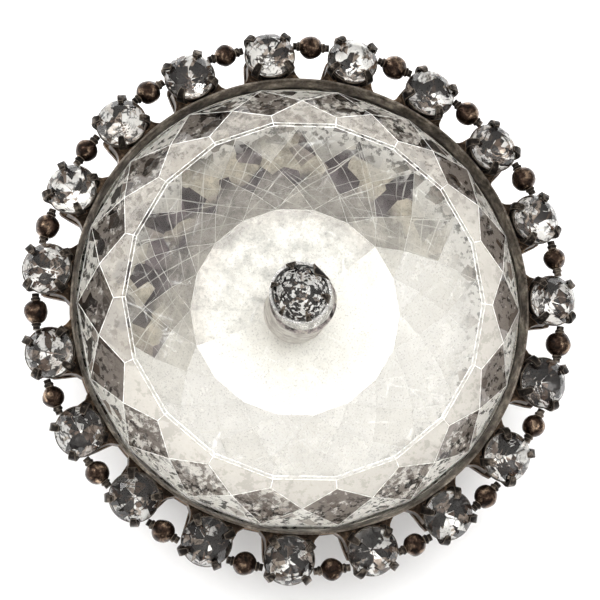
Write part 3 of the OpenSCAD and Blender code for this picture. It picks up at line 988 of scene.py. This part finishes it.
def center_setting():
    """Cup on the rivet: foot, rolled rim and a ring of claws, with one wide open claw."""
    rng = random.Random(SEED + 2)
    low, high = TABLE_Z + 0.02, TABLE_Z + CUP_H
    inner_r = CENTER_STONE_R + 0.04
    rim_r = CUP_R - 0.05
    profile = [(0.3, low), (CUP_FOOT_R, low), (CUP_FOOT_R, low + 0.2), (rim_r, low + 0.34),
               (rim_r - 0.07, high - 0.3), (rim_r, high - 0.12), (rim_r, high),
               (rim_r - 0.06, high + 0.03), (inner_r, high - 0.02), (inner_r, high - 0.22),
               (0.3, low + 0.3)]
    cup = (*lathe(rounded(profile, 0.05, 3), 72), Matrix.Identity(4))
    parts = [cup]
    for k in range(CUP_CLAWS):
        bold = k in (0, 1, 5)
        lift = 0.1 if bold else 0
        path = [(1.8, -0.3), (1.84, 0.05), (1.8, 0.3 + lift), (1.62, 0.5 + lift),
                (1.36, 0.6 + lift)]
        width = (1.35, 0.7, 0, 0, 0, 0.55)[k] or rng.uniform(0.3, 0.4)
        strip = claw_strip(path, [width, width, width * 0.9, width * 0.6, 0.12], 0.13)
        turn = FIRST_CLAW + k * math.tau / CUP_CLAWS + rng.uniform(-0.05, 0.05)
        raised = Matrix.Translation((0, 0, CENTER_STONE_Z))
        parts.append((*strip, raised @ Matrix.Rotation(turn, 4, "Z")))
    verts, faces = join_parts(parts)
    foot_off = Vector(FOOT_OFF)
    lean = (Vector(CENTER_OFF) - foot_off) / (CENTER_STONE_Z - low)
    verts = [Vector((v.x + foot_off.x + lean.x * (v.z - low),
                     v.y + foot_off.y + lean.y * (v.z - low), v.z)) for v in verts]
    silver, foot, claw = range(3)
    kinds = []
    for n, face in enumerate(faces):
        low_down = max(verts[i].z for i in face) < low + 0.5
        kinds.append(claw if n >= len(cup[1]) else foot if low_down else silver)
    materials = [CENTER_METAL, FOOT_METAL, CUP_METAL]
    piece = make("center_setting", verts, faces, materials, kinds)
    fix_normals(piece)
    bevel(piece, 0.03, segments=2, angle=40)
    smooth_by_angle(piece, 40)
    return piece


def shank_plate():
    """Domed plate on the back."""
    low, high = BASE_LOW.z, BASE_HIGH.z
    outer = BASE_HIGH.x
    profile = [(0.001, low), (2.2, low), (outer - 0.25, high - 0.45), (outer, high - 0.3),
               (outer, high), (2.45, high), (2.45, high - 0.5), (0.001, high - 0.5)]
    verts, faces = lathe(rounded(profile, 0.15, 4), 96)
    piece = make("shank_plate", verts, faces, [SHANK_METAL])
    fix_normals(piece)
    smooth_by_angle(piece, 50)
    return piece


def shank_wire():
    """Sewing eye bent from half-round wire, its ends spread flat on the plate."""
    hole_r = 1.3
    wall = -EYE_LOW.z - hole_r
    half_w = EYE_HIGH.x
    shoulder, outer = hole_r + wall * 0.55, hole_r + wall
    section = rounded([(hole_r, -half_w), (shoulder, -half_w), (outer, -half_w * 0.4),
                       (outer, half_w * 0.4), (shoulder, half_w), (hole_r, half_w)], 0.22, 4)
    verts, faces = lathe(section, 96)
    stand = Matrix.Rotation(math.pi / 2, 4, "Y")
    parts = [(verts, faces, stand)]
    top = EYE_HIGH.z
    for side in (-1, 1):
        path = [(1.0, top - 0.62), (1.5, top - 0.4), (1.95, top - 0.2), (2.38, top - 0.16)]
        foot = claw_strip(path, [2 * half_w * 0.95] * 3 + [half_w], 0.3)
        parts.append((*foot, Matrix.Rotation(side * math.pi / 2, 4, "Z")))
    verts, faces = join_parts(parts)
    piece = make("shank_wire", verts, faces, [SHANK_METAL])
    fix_normals(piece)
    bevel(piece, 0.06, segments=2, angle=40)
    smooth_by_angle(piece, 50)
    return piece


# ---------------------------------------------------------------- assembly


def stand_for(piece, slot, *nodes):
    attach(piece, BODY)
    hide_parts(*nodes)


def border():
    """The nineteen cups and stones, each set by hand a little differently."""
    rng = random.Random(SEED)
    for i in range(STONES):
        name = f"{i + 1:02d}"
        place = station(i, STONE_RING_R, STONE_Z, TILT)
        stand_for(border_setting(i, place, rng), "cup_metal", f"setting_{name}")
        lean = Matrix.Rotation(rng.uniform(-0.05, 0.05), 4, "X") @ Matrix.Rotation(
            rng.uniform(-0.05, 0.05), 4, "Y")
        turn = Matrix.Rotation(rng.uniform(0, math.tau), 4, "Z")
        stone = brilliant(f"stone_{name}", STONE_R, STONE_BACK, place @ lean @ turn, SMALL_FOIL)
        stand_for(stone, "rhinestone_glass", f"rhinestone_{name}")


stand_for(large_stone(), "large_glass", "glass_stone")
stand_for(pan(), "pan_metal", "bezel_pan")
stand_for(frame_ring(), "frame_metal", "border_frame")
stand_for(bead_chain(), "bead_metal", "bead_links")
border()
stand_for(center_setting(), "center_metal", "center_cup")
center_place = Matrix.Translation((*CENTER_OFF, CENTER_STONE_Z))
center_place = center_place @ Matrix.Rotation(CENTER_TURN, 4, "Z")
center_stone = brilliant("center_stone", CENTER_STONE_R, CENTER_STONE_BACK, center_place,
                         CENTER_FOIL)
stand_for(center_stone, "rhinestone_glass", "center_rhinestone")
stand_for(shank_plate(), "shank_metal", "shank_base")
stand_for(shank_wire(), "shank_metal", "shank_loop")

for node, material in (("foil_liner", LOOSE_FOIL), ("center_rivet", RIVET_METAL)):
    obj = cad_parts[node]
    obj.data.materials.clear()
    obj.data.materials.append(material)


# ---------------------------------------------------------------- stage


def floor_board():
    half = 2.0
    mesh = bpy.data.meshes.new("floor")
    z = FLOOR_Z * MM
    mesh.from_pydata([(-half, -half, z), (half, -half, z), (half, half, z), (-half, half, z)],
                     [], [(0, 1, 2, 3)])
    mesh.materials.append(FLOOR)
    obj = bpy.data.objects.new("floor", mesh)
    bpy.context.scene.collection.objects.link(obj)


def direction(azimuth, elevation):
    """Unit vector from the button towards a compass azimuth (0 is +Y, clockwise)."""
    a, e = math.radians(azimuth), math.radians(elevation)
    return Vector((math.sin(a) * math.cos(e), math.cos(a) * math.cos(e), math.sin(e)))


def soft_light(name, azimuth, elevation, distance, size, radiance, colour=(1, 1, 1),
               mirrored=True):
    """A round soft panel facing the button. Unless mirrored, it isn't seen as a reflection
    in metal or on glass, but still shines into the stones."""
    data = bpy.data.lights.new(name, "AREA")
    data.shape = "DISK"
    data.size = size
    data.energy = radiance * math.pi * math.pi * (size / 2) ** 2
    data.color = colour
    obj = bpy.data.objects.new(name, data)
    obj.location = direction(azimuth, elevation) * distance
    obj.rotation_mode = "QUATERNION"
    obj.rotation_quaternion = direction(azimuth, elevation).to_track_quat("Z", "Y")
    obj.visible_glossy = mirrored
    bpy.context.scene.collection.objects.link(obj)


def world_light():
    """A white room, dimmer low down."""
    world = bpy.data.worlds.new("room")
    bpy.context.scene.world = world
    world.use_nodes = True
    tree = world.node_tree
    coords = tree.nodes.new("ShaderNodeTexCoord")
    ramp = tree.nodes.new("ShaderNodeValToRGB")
    split = tree.nodes.new("ShaderNodeSeparateXYZ")
    tree.links.new(coords.outputs["Generated"], split.inputs[0])
    tree.links.new(split.outputs["Z"], ramp.inputs["Fac"])
    ramp.color_ramp.elements[0].position = 0.1
    ramp.color_ramp.elements[0].color = (0.25, 0.24, 0.25, 1)
    ramp.color_ramp.elements[1].position = 0.8
    ramp.color_ramp.elements[1].color = (1.05, 1.04, 1.02, 1)
    background = tree.nodes["Background"]
    tree.links.new(ramp.outputs["Color"], background.inputs["Color"])
    background.inputs["Strength"].default_value = 0.95


def camera():
    """Nearly square on to the face, from a little below and to the left."""
    azimuth, elevation, distance = 218.0, 78.4, 0.30
    data = bpy.data.cameras.new("camera")
    data.lens = 289.5
    data.sensor_width = 36
    data.clip_start = 0.01
    data.clip_end = 10
    obj = bpy.data.objects.new("camera", data)
    towards = direction(azimuth, elevation)
    right = Vector((0, 1, 0)).cross(towards).normalized()
    up = towards.cross(right).normalized()
    raise_mm, shift_mm = 0.42, 0.03
    target = Vector((0, 0, (RIM_Z - RIM_H) * MM)) + (raise_mm * up + shift_mm * right) * MM
    obj.location = target + towards * distance
    obj.matrix_world = Matrix.Translation(obj.location) @ Matrix(
        (right, up, towards)).transposed().to_4x4()
    bpy.context.scene.collection.objects.link(obj)
    bpy.context.scene.camera = obj


floor_board()
world_light()
soft_light("window", 300, 35, 0.6, 0.22, 5.0)
soft_light("lamp", 130, 50, 0.6, 0.06, 20.0)
soft_light("key", 340, 66, 0.6, 0.9, 4.4, mirrored=False)
camera()
bpy.context.scene.view_settings.view_transform = "Standard"
